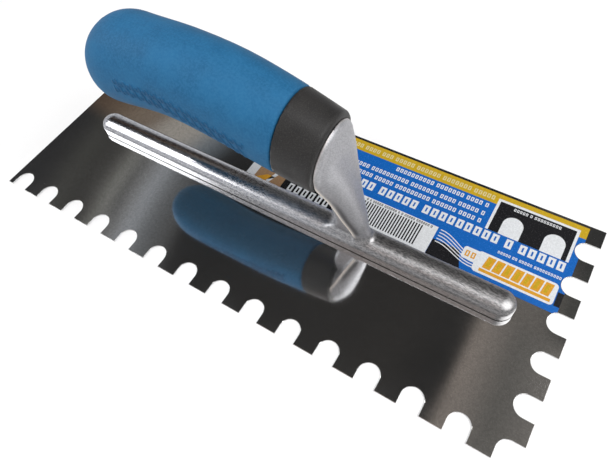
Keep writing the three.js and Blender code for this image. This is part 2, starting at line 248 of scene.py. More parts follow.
def surface_net(field, axes):
    """Points, quads and normals of the zero surface of field(x, y, z) on the grid of axes.

    A point starts as the mean of its cell's edge crossings and is then drawn on to the surface.
    """
    step = min(np.diff(axis).min() for axis in axes)
    values = field(*np.meshgrid(*axes, indexing="ij"))
    inside = values < 0
    cells = np.array(values.shape) - 1
    total = int(np.prod(cells))
    sums, counts, quads = np.zeros((3, total)), np.zeros(total), []
    for axis in range(3):
        lower = tuple(slice(None, -1) if k == axis else slice(None) for k in range(3))
        upper = tuple(slice(1, None) if k == axis else slice(None) for k in range(3))
        crossed = inside[lower] != inside[upper]
        index = np.argwhere(crossed)
        a, b = values[lower][crossed], values[upper][crossed]
        point = index.astype(float)
        point[:, axis] += a / (a - b)
        u, v = (axis + 1) % 3, (axis + 2) % 3
        ring = []
        for du, dv in ((0, 0), (-1, 0), (-1, -1), (0, -1)):
            cell = index.copy()
            cell[:, u] += du
            cell[:, v] += dv
            ring.append(np.ravel_multi_index(cell.T, cells))
        for flat in ring:
            counts += np.bincount(flat, minlength=total)
            for k in range(3):
                sums[k] += np.bincount(flat, weights=point[:, k], minlength=total)
        ring = np.stack(ring, axis=1)
        outward = inside[lower][crossed]
        quads.append(np.where(outward[:, None], ring, ring[:, ::-1]))
    used = np.flatnonzero(counts)
    renumber = np.zeros(total, int)
    renumber[used] = np.arange(len(used))
    places = sums[:, used] / counts[used]
    points = np.stack([np.interp(place, np.arange(len(axis)), axis)
                       for place, axis in zip(places, axes)], axis=1)
    for _ in range(SURFACE_ROUNDS):
        value, slope = field(*points.T), gradient(field, points)
        move = value[:, None] * slope / np.maximum((slope ** 2).sum(1), FLATTEST)[:, None]
        points -= np.clip(move, -step / 2, step / 2)
    slope = gradient(field, points)
    normals = slope / (np.linalg.norm(slope, axis=1)[:, None] + 1e-9)
    return points, renumber[np.concatenate(quads)], normals


def gradient(field, points):
    parts = []
    for axis in range(3):
        shift = np.zeros(3)
        shift[axis] = GRADIENT_REACH
        rise = field(*(points + shift).T) - field(*(points - shift).T)
        parts.append(rise / (2 * GRADIENT_REACH))
    return np.stack(parts, axis=1)


# ---------------------------------------------------------------- meshes

def new_piece(name, mesh, materials, node):
    """Puts the mesh in the scene in place of a CAD node."""
    piece = bpy.data.objects.new(name, mesh)
    bpy.context.scene.collection.objects.link(piece)
    for material in materials:
        mesh.materials.append(material)
    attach(piece, "root")
    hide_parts(node)


def paint(mesh, name, values):
    """Stores one number for each point, which a material may read."""
    attribute = mesh.attributes.new(name, "FLOAT", "POINT")
    attribute.data.foreach_set("value", np.asarray(values, np.float32))


def mesh_from(name, points, faces, normals=None):
    """Mesh from points in millimetres; with normals it is shaded smooth."""
    mesh = bpy.data.meshes.new(name)
    mesh.from_pydata((np.asarray(points) * MM).tolist(), [], np.asarray(faces).tolist())
    if normals is not None:
        mesh.shade_smooth()
        mesh.normals_split_custom_set_from_vertices(normals.tolist())
    return mesh


# ---------------------------------------------------------------- node helpers

def new_material(name, **sockets):
    material = bpy.data.materials.new(name)
    material.use_nodes = True
    tree = material.node_tree
    shader = tree.nodes["Principled BSDF"]
    for key, value in sockets.items():
        shader.inputs[key.replace("_", " ")].default_value = value
    return material, tree, shader


def place_node(tree, stretch=(1, 1, 1)):
    """Object position in metres, stretched along the axes."""
    place = tree.nodes.new("ShaderNodeTexCoord")
    mapping = tree.nodes.new("ShaderNodeMapping")
    mapping.inputs["Scale"].default_value = stretch
    tree.links.new(place.outputs["Object"], mapping.inputs["Vector"])
    return mapping.outputs["Vector"]


def noise(tree, grain, stretch=(1, 1, 1), detail=3.0, roughness=0.5):
    """Noise with features about grain millimetres across."""
    texture = tree.nodes.new("ShaderNodeTexNoise")
    texture.inputs["Scale"].default_value = 1 / (grain * MM)
    texture.inputs["Detail"].default_value = detail
    texture.inputs["Roughness"].default_value = roughness
    tree.links.new(place_node(tree, stretch), texture.inputs["Vector"])
    return texture.outputs["Fac"]


def painted(tree, name):
    """The number stored on the mesh by paint."""
    attribute = tree.nodes.new("ShaderNodeAttribute")
    attribute.attribute_name = name
    return attribute.outputs["Fac"]


def coordinates(tree, source):
    split = tree.nodes.new("ShaderNodeSeparateXYZ")
    tree.links.new(source, split.inputs[0])
    return split.outputs


def spread(tree, source, low, high, to_low, to_high, kind="SMOOTHSTEP"):
    """Source from low to high becomes to_low to to_high, level beyond both ends."""
    ranged = tree.nodes.new("ShaderNodeMapRange")
    ranged.interpolation_type = kind
    limits = {"From Min": low, "From Max": high, "To Min": to_low, "To Max": to_high}
    for key, value in limits.items():
        ranged.inputs[key].default_value = value
    tree.links.new(source, ranged.inputs["Value"])
    return ranged.outputs["Result"]


def vary(tree, source, to_low, to_high):
    """A noise, most of which lies between 0.3 and 0.7, made to run from to_low to to_high."""
    return spread(tree, source, 0.3, 0.7, to_low, to_high)


def feed(tree, node, values):
    """Gives each numbered input a link, where its value is another node's output, or a constant."""
    for number, value in values.items():
        socket = node.inputs[number]
        if isinstance(value, bpy.types.NodeSocket):
            tree.links.new(value, socket)
        elif isinstance(value, tuple):
            socket.default_value = (*value, 1)
        else:
            socket.default_value = value


def blend_colours(tree, factor, first, second, kind="MIX"):
    mix = tree.nodes.new("ShaderNodeMix")
    mix.data_type = "RGBA"
    mix.blend_type = kind
    feed(tree, mix, {0: factor, 6: first, 7: second})
    return mix.outputs[2]


def mix_values(tree, factor, first, second):
    mix = tree.nodes.new("ShaderNodeMix")
    feed(tree, mix, {0: factor, 2: first, 3: second})
    return mix.outputs[0]


def arithmetic(tree, operation, a, b):
    math_node = tree.nodes.new("ShaderNodeMath")
    math_node.operation = operation
    feed(tree, math_node, {0: a, 1: b})
    return math_node.outputs[0]


def bump(tree, shader, height, depth):
    """Lets height (0 to 1) stand depth millimetres proud; bumps stack up."""
    bump_node = tree.nodes.new("ShaderNodeBump")
    bump_node.inputs["Distance"].default_value = depth * MM
    bump_node.inputs["Strength"].default_value = 1
    tree.links.new(height, bump_node.inputs["Height"])
    if shader.inputs["Normal"].is_linked:
        before = shader.inputs["Normal"].links[0].from_socket
        tree.links.new(before, bump_node.inputs["Normal"])
    tree.links.new(bump_node.outputs["Normal"], shader.inputs["Normal"])


def link(tree, source, shader, socket):
    tree.links.new(source, shader.inputs[socket])


# ---------------------------------------------------------------- materials

def with_painted_shade(tree, tone, shade_tone):
    """Tone, turning to a darker shade tone on faces that look down and a little on those that look
    far: painted shade under the piece and on its far flank.
    """
    normal = tree.nodes.new("ShaderNodeNewGeometry").outputs["Normal"]
    _, away, up = coordinates(tree, normal)
    underside = spread(tree, up, -0.9, -0.1, 0.75, 0)
    far_flank = spread(tree, away, 0.1, 0.8, 0, 0.4)
    return blend_colours(tree, arithmetic(tree, "ADD", underside, far_flank), tone, shade_tone)


def polished_steel():
    """Bright rolled sheet: a soft mirror with a very slight bow, a fine grain and a few specks."""
    material, tree, shader = new_material("polished_steel", Metallic=0.978)
    clouds = noise(tree, 30, detail=2)
    grain = noise(tree, 0.45, detail=3, roughness=0.7)
    specks = spread(tree, noise(tree, 0.7, detail=2), 0.71, 0.80, 0, 1)
    rough = vary(tree, clouds, 0.055, 0.075)
    link(tree, mix_values(tree, specks, rough, 0.22), shader, "Roughness")
    tone = blend_colours(tree, clouds, (0.62, 0.62, 0.62), (0.66, 0.655, 0.65))
    tone = blend_colours(tree, spread(tree, grain, 0.4, 0.7, 0, 0.7), tone, (0.84, 0.84, 0.84))
    speckle = spread(tree, noise(tree, 1.1), 0.4, 0.7, 0, 0.3)
    tone = blend_colours(tree, speckle, tone, (0.45, 0.45, 0.45))
    link(tree, tone, shader, "Base Color")
    x, y, _ = coordinates(tree, place_node(tree))
    along = arithmetic(tree, "SUBTRACT", x, BOW_CENTRE * MM)
    along = arithmetic(tree, "MULTIPLY", arithmetic(tree, "MULTIPLY", along, along), BOW_ALONG)
    across = arithmetic(tree, "MULTIPLY", arithmetic(tree, "MULTIPLY", y, y), BOW_ACROSS)
    bump(tree, shader, arithmetic(tree, "SUBTRACT", along, across), 1 / MM)
    bump(tree, shader, clouds, 0.008)
    bump(tree, shader, grain, 0.0012)
    return material


def turned_steel(name, tone):
    material, tree, shader = new_material(name, Metallic=1.0)
    grain = noise(tree, 0.5, stretch=(1, 0.3, 0.3))
    brighter = tuple(1.15 * c for c in tone)
    link(tree, vary(tree, grain, 0.25, 0.42), shader, "Roughness")
    link(tree, blend_colours(tree, grain, tone, brighter), shader, "Base Color")
    bump(tree, shader, grain, 0.01)
    return material


def cast_aluminium():
    """Spine smoother on the left, with painted light: lighter on the left, darker to the right;
    shank satin; painted highlight along the crease, not metallic; painted shade at the foot.
    """
    material, tree, shader = new_material("cast_aluminium")
    x, _, height = coordinates(tree, place_node(tree))
    satin = spread(tree, height, 9.8 * MM, 12.5 * MM, 0, 1)
    # painted shade where the spine meets the blade
    foot = spread(tree, height, (BLADE_TOP + 0.3) * MM, (BLADE_TOP + 0.9) * MM, 1, 0)
    mottle = noise(tree, 0.55, stretch=(0.4, 1, 1), detail=3, roughness=0.65)
    mottle = spread(tree, mottle, 0.38, 0.62, 0, 1)
    grain = noise(tree, 0.32, detail=3)
    flash_and_highlight = painted(tree, "flash_and_highlight")
    worn = spread(tree, x, -50 * MM, 12 * MM, 0.15, 0.30)
    rough = mix_values(tree, mottle, worn, arithmetic(tree, "MULTIPLY", worn, 1.45))
    link(tree, mix_values(tree, satin, rough, 0.52), shader, "Roughness")
    # the painted highlight along the crease is made less metallic
    highlight_not_metal = arithmetic(tree, "MULTIPLY", flash_and_highlight, 0.8)
    link(tree, arithmetic(tree, "SUBTRACT", 1.0, highlight_not_metal), shader, "Metallic")
    spine_tone = blend_colours(tree, mottle, (0.38, 0.39, 0.42), (0.64, 0.64, 0.66))
    right_shaded_tone = blend_colours(tree, mottle, (0.23, 0.23, 0.235), (0.41, 0.40, 0.40))
    end_tone = blend_colours(tree, mottle, (0.16, 0.16, 0.18), (0.50, 0.50, 0.52))
    # painted light falloff: the spine's tone turns darker to the right, away from the key light on
    # the left
    painted_falloff = spread(tree, x, 5 * MM, 60 * MM, 0, 1)
    to_left_end = spread(tree, x, -128 * MM, -80 * MM, 0.6, 0)
    spine_tone = blend_colours(tree, painted_falloff, spine_tone, right_shaded_tone)
    spine_tone = blend_colours(tree, to_left_end, spine_tone, end_tone)
    dull = blend_colours(tree, mottle, (0.40, 0.40, 0.42), (0.50, 0.50, 0.52))
    tone = blend_colours(tree, satin, spine_tone, dull)
    # painted shade in the strip beside the crease line
    tone = blend_colours(tree, painted(tree, "shade_strip"), tone, (0.09, 0.09, 0.095))
    # painted highlight: near-white along the crease line
    tone = blend_colours(tree, flash_and_highlight, tone, (0.95, 0.86, 0.77))
    # painted shade: near-black at the spine's foot
    link(tree, blend_colours(tree, foot, tone, (0.05, 0.045, 0.04)), shader, "Base Color")
    bump(tree, shader, grain, 0.008)
    return material


def blue_rubber():
    """Matte thermoplastic rubber with a fine moulded grain; painted shade darkens the relief band
    and the faces that look down and far.
    """
    material, tree, shader = new_material("blue_rubber", Specular_IOR_Level=0.22)
    clouds = noise(tree, 16, detail=4, roughness=0.6)
    grain = noise(tree, 0.35, detail=2)
    fleck = noise(tree, 0.9, detail=5, roughness=0.7)
    tone = blend_colours(tree, vary(tree, clouds, 0, 1),
                         (0.010, 0.103, 0.235), (0.018, 0.138, 0.300))
    pale = spread(tree, fleck, 0.40, 0.62, 0.0, 0.5)
    tone = blend_colours(tree, pale, tone, (0.030, 0.168, 0.335))
    # painted shade: the raised band is darker blue
    band_shade = spread(tree, painted(tree, "band"), 0.1, 0.7, 0, 0.55)
    tone = blend_colours(tree, band_shade, tone, (0.012, 0.070, 0.17))
    # painted shade on faces that look down and on the far flank
    link(tree, with_painted_shade(tree, tone, (0.010, 0.060, 0.11)), shader, "Base Color")
    link(tree, vary(tree, clouds, 0.60, 0.72), shader, "Roughness")
    bump(tree, shader, grain, 0.025)
    bump(tree, shader, fleck, 0.03)
    return material


def black_plastic():
    """Hard satin plastic, finely grained, with painted shade underneath and a little on the far
    flank.
    """
    material, tree, shader = new_material("black_plastic", Specular_IOR_Level=0.3)
    clouds = noise(tree, 9, detail=3)
    grain = noise(tree, 0.4, detail=2)
    tone = blend_colours(tree, clouds, (0.011, 0.011, 0.012), (0.026, 0.024, 0.023))
    pale = spread(tree, grain, 0.45, 0.7, 0, 0.5)
    tone = blend_colours(tree, pale, tone, (0.05, 0.048, 0.045))
    # painted shade on faces that look down and on the far flank
    link(tree, with_painted_shade(tree, tone, (0.004, 0.004, 0.004)), shader, "Base Color")
    link(tree, vary(tree, clouds, 0.42, 0.55), shader, "Roughness")
    bump(tree, shader, grain, 0.035)
    return material


def plug_plastic():
    """Hard plastic in the blue of the grip."""
    material, tree, shader = new_material("plug_plastic", Specular_IOR_Level=0.4)
    clouds = noise(tree, 5, detail=3)
    grain = noise(tree, 0.3, detail=2)
    link(tree, blend_colours(tree, clouds, (0.018, 0.095, 0.21), (0.028, 0.13, 0.27)),
         shader, "Base Color")
    link(tree, vary(tree, clouds, 0.42, 0.55), shader, "Roughness")
    bump(tree, shader, grain, 0.015)
    return material


def print_ink(name, tone):
    """Ink on glossy film: slight mottle in colour and a faint film ripple."""
    material, tree, shader = new_material(name, Specular_IOR_Level=0.35)
    mottle = noise(tree, 0.6, detail=3)
    ripple = noise(tree, 18, detail=2)
    darker = tuple(0.86 * c for c in tone)
    link(tree, blend_colours(tree, vary(tree, mottle, 0, 1), darker, tone), shader, "Base Color")
    link(tree, vary(tree, mottle, 0.20, 0.28), shader, "Roughness")
    bump(tree, shader, ripple, 0.06)
    return material


# ---------------------------------------------------------------- blade

def arc(cx, cy, radius, start, end, steps=14):
    """Points along an arc between two angles in degrees."""
    turns = np.radians(np.linspace(start, end, steps + 1))
    return [(cx + radius * math.cos(t), cy + radius * math.sin(t)) for t in turns]


def blade_outline():
    """Counter-clockwise, with the U notches along the near edge and the right end."""
    left, near = BLADE_LOW[:2]
    right, far = BLADE_HIGH[:2]
    radius = NOTCH / 2
    outline = [(left, near)]
    for k in range(EDGE_NOTCHES, 0, -1):
        x = right - radius - k * NOTCH_PITCH
        root = arc(x, near + radius, radius, 180, 0)
        outline += [(x - radius, near), *root, (x + radius, near)]
    corner = arc(right - radius, near + radius, radius, 180, 90)
    outline += [(right - NOTCH, near), *corner, (right, near + NOTCH)]
    for k in range(1, END_NOTCHES + 1):
        y = near + radius + k * NOTCH_PITCH
        root = arc(right - radius, y, radius, 270, 90)
        outline += [(right, y - radius), *root, (right, y + radius)]
    return outline + [(right, far), (left, far)]


def add_outline(curve, points):
    spline = curve.splines.new("POLY")
    spline.points.add(len(points) - 1)
    for target, (x, y) in zip(spline.points, points):
        target.co = (x * MM, y * MM, 0, 1)
    spline.use_cyclic_u = True


def plate_mesh(name, outlines, bottom, top, edge_round):
    """Flat plate between two heights, with rounded edges; inner outlines are holes."""
    curve = bpy.data.curves.new(name, "CURVE")
    curve.dimensions = "2D"
    curve.fill_mode = "BOTH"
    for points in outlines:
        add_outline(curve, points)
    curve.extrude = ((top - bottom) / 2 - edge_round) * MM
    curve.bevel_depth = edge_round * MM
    curve.bevel_resolution = 2
    curve.offset = -edge_round * MM
    holder = bpy.data.objects.new(name, curve)
    bpy.context.scene.collection.objects.link(holder)
    depsgraph = bpy.context.evaluated_depsgraph_get()
    mesh = bpy.data.meshes.new_from_object(holder.evaluated_get(depsgraph))
    bpy.data.objects.remove(holder)
    mesh.name = name
    mesh.transform(Matrix.Translation((0, 0, (bottom + top) / 2 * MM)))
    return mesh


def build_blade(material):
    holes = [arc(x, 0, RIVET_HEAD_RADIUS + FIT_GAP / 2, 0, 350, 35) for x in RIVET_X]
    mesh = plate_mesh("blade_sheet", [blade_outline(), *holes],
                      BLADE_LOW[2], BLADE_TOP, BLADE_EDGE_ROUND)
    mesh.shade_flat()
    new_piece("blade_sheet", mesh, [material], "blade")


# ---------------------------------------------------------------- casting

NO_CUT = -50.0                     # far inside: leaves the other field as it is
END_STEP = 0.4                     # steps of the grid
BAR_STEP = 1.1
NECK_STEP = 0.36
UPPER_STEP = 0.42

shank_crease = through(SHANK_Z, SHANK_CREASE)
shank_front = through(SHANK_Z, SHANK_FRONT)
shank_half_squared = through(SHANK_Z, np.square(SHANK_HALF))
web_rear = through(WEB_Z, WEB_REAR)


def shank_half(z):
    return np.sqrt(np.maximum(shank_half_squared(z), SHANK_LEAST ** 2))


def spine_field(x, y, z):
    """Round-ended bar with a crowned top and rounded shoulders."""
    side = np.hypot(np.maximum(np.abs(x) - SPINE_STRAIGHT, 0), y) - SPINE_HALF_WIDTH
    across = np.clip(1 + side / SPINE_HALF_WIDTH, 0, 2)
    top = z - SPINE_TOP + SPINE_CROWN * across ** 2
    body = smooth_max(side, top, SPINE_SHOULDER)
    return smooth_max(body, BLADE_TOP - z, SPINE_FOOT)


def shank_field(x, y, z):
    """Rounded front with a flat back; the two meet in a sharp crease on each side."""
    crease = shank_crease(z)
    depth = np.maximum(shank_front(z) - crease, SHANK_LEAST)
    face = lens(x - crease, y, depth, shank_half(z))
    face = smooth_max(face, crease - x, CREASE_ROUND)
    face = np.maximum(face, z - SHANK_TOP)
    return np.maximum(face, NECK_FOOT - z)


def web_field(x, y, z):
    """Rib behind the shank, with a rounded rear edge."""
    rear = web_rear(np.maximum(z, WEB_Z[0]))
    rib = smooth_max(np.abs(y) - WEB_HALF_WIDTH, rear - x, WEB_ROUND)
    rib = np.maximum(rib, x - shank_crease(z) - WEB_OVERLAP)
    return np.maximum(np.maximum(rib, NECK_FOOT - z), z - WEB_TOP)


def pad_field(x, y, z):
    """Elliptical pad in front of the collar, thinner towards its rim."""
    hx, hz = to_handle(x, z)
    pad = ellipse(y, hz, PAD_HALF_WIDTH, PAD_HALF_HEIGHT)
    return smooth_max(pad, hx - PAD_DEPTH + PAD_TAPER * np.hypot(y, hz), PAD_ROUND)


def off_crease(x, y, z):
    """How far a point is from the sharp sides of the shank."""
    return np.hypot(x - shank_crease(z), np.abs(y) - shank_half(z))


def crease_line(x, y, z):
    """One on the fine flash line along the sharp sides of the shank, weaker beside the collar; it
    raises that line and marks where a highlight is painted on it.
    """
    line = np.exp(-(off_crease(x, y, z) / FLASH_WIDTH) ** 2)
    return line * smooth_step(10, 13, z) * (1 - 0.7 * smooth_step(47, 54, z))


def crease_shade(x, y, z):
    """Painted shade in a strip on the front of the shank beside the flash line, fading out upwards.
    """
    strip = np.exp(-((off_crease(x, y, z) - SHADE_OFFSET) / SHADE_WIDTH) ** 2)
    in_front = x > shank_crease(z) + 0.5
    return 0.8 * strip * in_front * smooth_step(11, 15, z) * (1 - smooth_step(30, 46, z))


def rivet_holes(x, y, z):
    """Blind holes at an even pitch; each point looks at the nearest one only."""
    last = len(RIVET_X) - 1
    pitch = (RIVET_X[last] - RIVET_X[0]) / last
    nearest = RIVET_X[0] + pitch * np.clip(np.round((x - RIVET_X[0]) / pitch), 0, last)
    return np.maximum(np.hypot(x - nearest, y) - RIVET_HOLE_RADIUS, z - RIVET_TOP - FIT_GAP)


def casting_field(x, y, z):
    """Spine with the shank, web and pad rising from it, cut flat where the collar sits."""
    hx, hz = to_handle(x, z)
    neck = smooth_min(shank_field(x, y, z), web_field(x, y, z), WEB_FILLET)
    neck = smooth_min(neck, pad_field(x, y, z), PAD_FILLET)
    cut = np.where(z > FACE_FOOT, -hx, NO_CUT)
    neck = smooth_max(neck, cut, FACE_ROUND)
    whole = smooth_min(spine_field(x, y, z), neck, SPINE_FILLET)
    whole = whole - FLASH_HEIGHT * crease_line(x, y, z)
    rod_hole = np.maximum(np.hypot(y, hz) - ROD_HOLE_RADIUS, hx - ROD_HOLE_DEPTH)
    return np.maximum(whole, -np.minimum(rod_hole, rivet_holes(x, y, z)))


def stepped(*spans):
    """Grid lines over neighbouring spans, each given as start, end and step."""
    return np.concatenate([np.arange(*span) for span in spans])


def build_casting(material):
    """The grid is fine at the round ends and round the neck, coarse along the plain bar."""
    end, round_end, foot = CASTING_HIGH[0], 9, 13
    bar, rear, front = end - round_end, 26, 56
    x_axis = stepped((-end - 1, -bar, END_STEP), (-bar, rear, BAR_STEP), (rear, front, NECK_STEP),
                     (front, bar, BAR_STEP), (bar, end + 1, END_STEP))
    y_axis = np.arange(-PAD_HALF_WIDTH - 1, PAD_HALF_WIDTH + 1, NECK_STEP)
    z_axis = stepped((0, foot, NECK_STEP), (foot, SHANK_TOP + 1, UPPER_STEP))
    points, quads, normals = surface_net(casting_field, (x_axis, y_axis, z_axis))
    mesh = mesh_from("casting_body", points, quads, normals)
    # mask for the mould line along the crease and its painted highlight
    paint(mesh, "flash_and_highlight", crease_line(*points.T))
    # mask for the painted shade beside the crease
    paint(mesh, "shade_strip", crease_shade(*points.T))
    new_piece("casting_body", mesh, [material], "mounting_casting")


# ---------------------------------------------------------------- handle

handle_centre = through(HANDLE_X, HANDLE_CENTRE)
handle_half = through(HANDLE_X, HANDLE_HALF)
handle_side = through(HANDLE_X, HANDLE_SIDE)


def handle_skin(x, y, z, inset):
    """Outer shape of the handle, drawn in by inset, open towards the casting."""
    half = handle_half(x) - inset
    side = handle_side(x) - inset
    up = (z - handle_centre(x)) / half
    section = np.abs(y / side) ** SECTION_POWER + np.abs(up) ** SECTION_POWER
    section = section ** (1 / SECTION_POWER)
    dome_start = BUTT_DOME - HANDLE_LENGTH
    butt = np.maximum(dome_start - x, 0) / (BUTT_DOME - inset)
    reach = (section ** BUTT_POWER + butt ** BUTT_POWER) ** (1 / BUTT_POWER)
    return (reach - 1) * np.minimum(half, side)


def band_relief(x, y, z):
    """Moulded band low on each flank: slanted ribs with pairs of dots between them."""
    middle = np.interp(x, [BAND_X[0], BAND_X[-1]], [BAND_START, BAND_END])
    rise = z - handle_centre(x) - middle
    half = np.interp(x, BAND_X, BAND_HALF)
    along = x + BAND_SLANT * rise
    off_rib = np.abs((along / BAND_PITCH) % 1 - 0.5) * BAND_PITCH
    ribs = 1 - smooth_step(0.55, 1.0, off_rib)
    off_dot = np.hypot(off_rib - BAND_PITCH / 2, np.abs(rise) - 0.5 * half)
    dots = 1 - smooth_step(0.75, 1.2, off_dot)
    inside = 1 - smooth_step(half - 0.4, half, np.abs(rise))
    ends = smooth_step(*BAND_BUTT_FADE, x) * (1 - smooth_step(*BAND_COLLAR_FADE, x))
    return np.maximum(ribs, dots) * inside * ends * smooth_step(*BAND_SIDE_FADE, np.abs(y))


def butt_pocket(x, y, z):
    return np.maximum(np.hypot(y, z) - PLUG_HOLE_RADIUS, x - PLUG_FLOOR)


def grip_field(x, y, z):
    """Shell over the core, open at the collar, with the band, a parting line and the plug's hole."""
    outside = handle_skin(x, y, z, GRIP_INSET)
    parting = np.exp(-(y / PARTING_WIDTH) ** 2) * (1 - smooth_step(*PARTING_FADE, x))
    outside = outside - BAND_HEIGHT * band_relief(x, y, z) - PARTING_HEIGHT * parting
    seam = -COLLAR_LENGTH - FIT_GAP
    outside = smooth_max(outside, x - seam, GRIP_LIP_ROUND)
    inside = np.maximum(handle_skin(x, y, z, GRIP_THICKNESS), x - seam - GRIP_OPENING)
    shell = np.maximum(outside, -inside)
    return smooth_max(shell, -butt_pocket(x, y, z), PLUG_HOLE_ROUND)


def core_field(x, y, z):
    """Bare collar and the thinner part under the grip, with the rod's hole and the pocket."""
    collar = smooth_max(handle_skin(x, y, z, COLLAR_INSET), x + COLLAR_GAP, COLLAR_ROUND)
    collar = smooth_max(collar, -COLLAR_LENGTH - x, COLLAR_BACK_ROUND)
    inner = handle_skin(x, y, z, GRIP_THICKNESS + FIT_GAP)
    inner = np.maximum(inner, x + COLLAR_LENGTH - CORE_OVERLAP)
    holes = np.minimum(np.hypot(y, z) - ROD_HOLE_RADIUS, butt_pocket(x, y, z))
    return np.maximum(np.minimum(collar, inner), -holes)


def plug_field(x, y, z):
    """Domed cap, flush with the butt, with a shallow ring pressed into it."""
    radius = np.hypot(y, z)
    ring = RING_DEPTH * np.exp(-((radius - RING_RADIUS) / RING_WIDTH) ** 2)
    skin = handle_skin(x, y, z, PLUG_INSET) + ring
    cap = smooth_max(skin, radius - PLUG_HOLE_RADIUS + FIT_GAP, PLUG_ROUND)
    return np.maximum(cap, x - PLUG_INNER_END)


def handle_piece(name, field, front, step, material, node):
    """Meshes a field given in the handle's frame, from the butt to x = front."""
    side, below, above = 24, 28, 27
    axes = even_axes((-HANDLE_LENGTH, -side, -below), (front, side, above), step)
    points, quads, normals = surface_net(field, axes)
    places = np.array(HANDLE_FACE) + turned_from_handle(points)
    mesh = mesh_from(name, places, quads, turned_from_handle(normals))
    paint(mesh, "band", band_relief(*points.T))
    new_piece(name, mesh, [material], node)


def build_handle(rubber, plastic, plug):
    handle_piece("grip_sleeve", grip_field, -COLLAR_LENGTH, 0.5, rubber,
                 "soft_grip")
    handle_piece("handle_collar", core_field, 0, 0.7, plastic,
                 "handle_core")
    handle_piece("butt_cap", plug_field, PLUG_INNER_END, 0.4, plug,
                 "butt_plug")


# ---------------------------------------------------------------- label

PRINT_LIFT = 0.012                 # each layer of print stands this far above the one below
INKS = {
    "film_blue": (0.010, 0.125, 0.47),
    "ink_yellow": (0.55, 0.36, 0.02),
    "ink_white": (0.74, 0.76, 0.78),
    "ink_black": (0.014, 0.014, 0.016),
    "ink_amber": (0.68, 0.33, 0.03),
    "ink_brown": (0.36, 0.22, 0.12),
    "ink_pale": (0.66, 0.60, 0.34),
}
INK_ORDER = list(INKS)


def rectangle(x0, x1, y0, y1):
    return [(x0, y0), (x1, y0), (x1, y1), (x0, y1)]


def slanted(x0, x1, y0, y1, slant):
    return [(x0, y0), (x1, y0), (x1 + slant, y1), (x0 + slant, y1)]


def rounded(x0, x1, y0, y1, radius):
    corners = ((x1 - radius, y0 + radius, 270), (x1 - radius, y1 - radius, 0),
               (x0 + radius, y1 - radius, 90), (x0 + radius, y0 + radius, 180))
    return [p for cx, cy, start in corners for p in arc(cx, cy, radius, start, start + 90, 5)]


def print_line(ink, ground, layer, y, height, x0, x1, words, weight=0.2):
    """A line of placeholder boxes from x1 back to x0; words holds how many boxes each word has."""
    pitch, width, stem = 0.86 * height, (0.4 + weight) * height, weight * height
    word_gap = 0.5 * pitch
    low, high = y - height / 2, y + height / 2
    items, x, k = [], x1, 0
    while x - words[k % len(words)] * pitch > x0:
        for _ in range(words[k % len(words)]):
            box = rectangle(x - width, x, low, high)
            opening = rectangle(x - width + stem, x - stem, low + stem, high - stem)
            items += [(ink, layer, box), (ground, layer + 1, opening)]
            x -= pitch
        x, k = x - word_gap, k + 1
    return items


def label_outline():
    """The film, cut out round the notches that reach it."""
    x0, y0 = LABEL_LOW[:2]
    x1, y1 = LABEL_HIGH[:2]
    centre, radius = BLADE_HIGH[0] - NOTCH / 2, NOTCH / 2 + LABEL_GAP
    reach = math.acos((centre - x1) / radius)
    outline = [(x0, y0)]
    for k in range(1, END_NOTCHES + 1):
        y = BLADE_LOW[1] + NOTCH / 2 + k * NOTCH_PITCH
        if y + radius > y0:
            start = math.asin(max(-math.sin(reach), (y0 - y) / radius))
            first, last = 180 - math.degrees(start), 180 - math.degrees(reach)
            outline += arc(centre, y, radius, first, last)
    return outline + [(x1, y1), (x0, y1)]


def label_print():
    """(ink, layer, outline) of everything printed on the blue film, in the part's millimetres."""
    x0, y0 = LABEL_LOW[:2]
    x1, y1 = LABEL_HIGH[:2]
    items = [("ink_yellow", 1, rectangle(x0 + 5, x1, y1 - 6.4, y1))]
    items += print_line("ink_pale", "ink_yellow", 2, y1 - 3.3, 2.5, x0 + 8, 90, (5, 7, 6, 5, 3, 4))
    items += print_line("ink_white", "film_blue", 1, 46.7, 2.4, 40, 89, (1, 4, 7, 10))
    items += print_line("ink_white", "film_blue", 1, 41.6, 2.4, 2, 89, (1, 5, 4, 7, 10, 4))
    items += print_line("ink_white", "film_blue", 1, 37.0, 2.4, 2, 89, (1, 4, 6, 9, 5, 4))
    items += print_line("ink_white", "film_blue", 1, 31.0, 4.9, 2, 129.2, (5, 1, 9, 5, 6), 0.24)
    items += print_line("ink_white", "film_blue", 1, 25.1, 1.4, 100, 129.6, (10, 5, 2, 5))
    items += notch_panel() + stripe_box() + badge() + left_end(x0, y0)
    return items


def notch_panel():
    """Black panel in a white frame, with two arches that stand for the notches."""
    left, right, low, high, frame_width = 92.0, 129.7, 34.2, 53.0, 1.3
    panel = rectangle(left + frame_width, right - frame_width, low, high - frame_width)
    items = [("ink_white", 2, rectangle(left, right, low, high)), ("ink_black", 3, panel)]
    half, spring = 4.7, 40.9
    for x in (102.7, 121.6):
        arch = [(x - half, low), (x + half, low), *arc(x, spring, half, 0, 180, 16)]
        items.append(("ink_white", 4, arch))
    return items + print_line("ink_white", "ink_black", 4, 49.9, 1.6, 98, 121.8, (9, 1, 5))


def stripe_box():
    """White box with even stripes and a line of small boxes over them."""
    items = [("ink_white", 1, rectangle(30, 73.6, LABEL_LOW[1], 24.6))]
    stripes, pitch = 25, 1.36
    for k in range(stripes):
        x = 33.6 + k * pitch
        items.append(("ink_black", 2, rectangle(x, x + pitch / 2, 10.4, 22.2)))
    return items + print_line("ink_black", "ink_white", 2, 23.4, 1.3, 34, 71, (1, 6, 5, 1))


